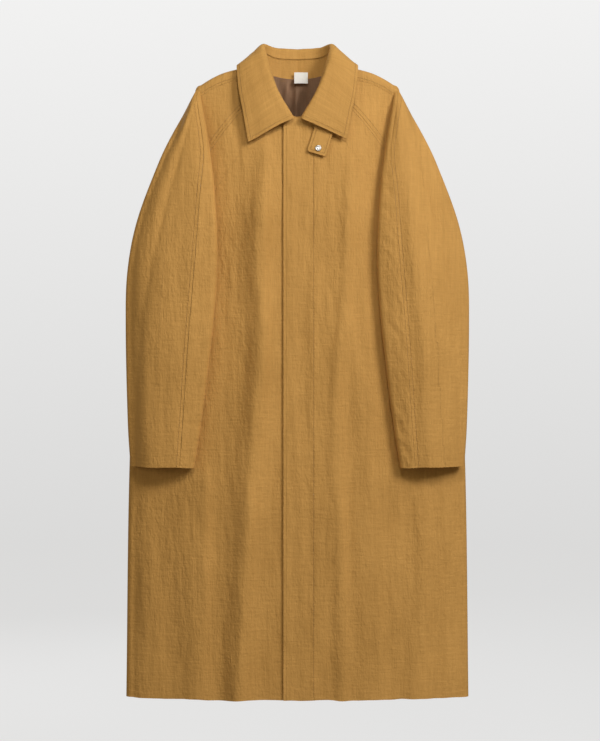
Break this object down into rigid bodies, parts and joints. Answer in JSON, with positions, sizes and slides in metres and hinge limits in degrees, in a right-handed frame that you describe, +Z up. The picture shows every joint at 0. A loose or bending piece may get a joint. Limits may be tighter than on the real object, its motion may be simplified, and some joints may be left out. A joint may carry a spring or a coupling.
{
  "type": "raglan overcoat",
  "caption": "Long tan raglan car coat with a turn-down pointed collar, throat tab, concealed button front, slanted welt pockets and satin lining.",
  "frame": {"origin": "the hanger's seat inside the shoulders, on the coat's middle plane, 1.150 m above the hem", "axes": "+Z up along the coat's length, -Y to the front, +X to the wearer's left"},
  "size_m": [0.65, 0.1601, 1.2409],
  "materials": {
    "shell_cloth": "matt cotton cloth with a fine vertical slub",
    "satin_lining": "brown satin with a soft sheen",
    "pocketing": "plain cotton pocketing",
    "snap_metal": "brushed silver-coloured ring snap",
    "button_horn": "brown horn-look plastic",
    "label_tape": "blank cream woven tape"
  },
  "bodies": {
    "coat_body": {"front_panel_left": "shell_cloth", "front_panel_right": "shell_cloth", "back_panel_left": "shell_cloth", "back_panel_right": "shell_cloth", "vent_underlap": "shell_cloth", "fly_top": "shell_cloth", "buttonhole_strip": "shell_cloth", "front_facing_right": "shell_cloth", "front_facing_left": "shell_cloth", "snap_stud": "snap_metal", "button_1": "button_horn", "button_2": "button_horn", "button_3": "button_horn", "button_4": "button_horn", "button_5": "button_horn", "yoke_front_left": "shell_cloth", "yoke_back_left": "shell_cloth", "lining_back_left": "satin_lining", "lining_front_left": "satin_lining", "pocket_welt_left": "shell_cloth", "pocket_bag_left": "pocketing", "collar_stand_left": "shell_cloth", "collar_roll_left": "shell_cloth", "under_collar_back_left": "shell_cloth", "upper_collar_back_left": "shell_cloth", "yoke_front_right": "shell_cloth", "yoke_back_right": "shell_cloth", "lining_back_right": "satin_lining", "lining_front_right": "satin_lining", "pocket_welt_right": "shell_cloth", "pocket_bag_right": "pocketing", "collar_stand_right": "shell_cloth", "collar_roll_right": "shell_cloth", "under_collar_back_right": "shell_cloth", "upper_collar_back_right": "shell_cloth"},
    "sleeve_left": {"sleeve_back_left": "shell_cloth", "sleeve_front_left": "shell_cloth", "cuff_turn_up_left": "shell_cloth", "sleeve_lining_left": "satin_lining"},
    "collar_leaf_left": {"upper_collar_leaf_left": "shell_cloth", "under_collar_leaf_left": "shell_cloth"},
    "sleeve_right": {"sleeve_back_right": "shell_cloth", "sleeve_front_right": "shell_cloth", "cuff_turn_up_right": "shell_cloth", "sleeve_lining_right": "satin_lining"},
    "collar_leaf_right": {"upper_collar_leaf_right": "shell_cloth", "under_collar_leaf_right": "shell_cloth"},
    "throat_tab": {"throat_tab_outer": "shell_cloth", "throat_tab_inner": "shell_cloth", "snap_cap": "snap_metal", "snap_socket": "snap_metal"},
    "fly": {"fly_flap": "shell_cloth"},
    "label": {"neck_label": "label_tape"},
    "vent": {"vent_flap": "shell_cloth"}
  },
  "joints": [
    {"name": "sleeve_swing_left", "type": "hinge", "parent": "coat_body", "child": "sleeve_left", "pos_m": [0.193, -0.03, 0.008], "axis": [0, -1, 0], "range_deg": [0, 50]},
    {"name": "sleeve_swing_right", "type": "hinge", "parent": "coat_body", "child": "sleeve_right", "pos_m": [-0.193, -0.03, 0.008], "axis": [0, 1, 0], "range_deg": [0, 50]},
    {"name": "collar_leaf_lift_left", "type": "hinge", "parent": "coat_body", "child": "collar_leaf_left", "pos_m": [0.01, -0.058, -0.038], "axis": [-0.4226, -0.3633, -0.8303], "range_deg": [0, 60]},
    {"name": "collar_leaf_lift_right", "type": "hinge", "parent": "coat_body", "child": "collar_leaf_right", "pos_m": [-0.01, -0.058, -0.038], "axis": [-0.4226, 0.3633, 0.8303], "range_deg": [0, 60]},
    {"name": "throat_tab_swing", "type": "hinge", "parent": "coat_body", "child": "throat_tab", "pos_m": [0.069, -0.044, -0.026], "axis": [0, 0.9903, -0.1392], "range_deg": [0, 61]},
    {"name": "fly_flap_lift", "type": "hinge", "parent": "coat_body", "child": "fly", "pos_m": [0.03, -0.0662, -0.6], "axis": [0, 0, 1], "range_deg": [0, 60]},
    {"name": "neck_label_flip", "type": "hinge", "parent": "coat_body", "child": "label", "pos_m": [0.007, 0.0185, 0.037], "axis": [-1, 0, 0], "range_deg": [0, 80]},
    {"name": "vent_flap_lift", "type": "hinge", "parent": "coat_body", "child": "vent", "pos_m": [0.048, 0.0615, -0.94], "axis": [0, 0, -1], "range_deg": [0, 45]}
  ]
}
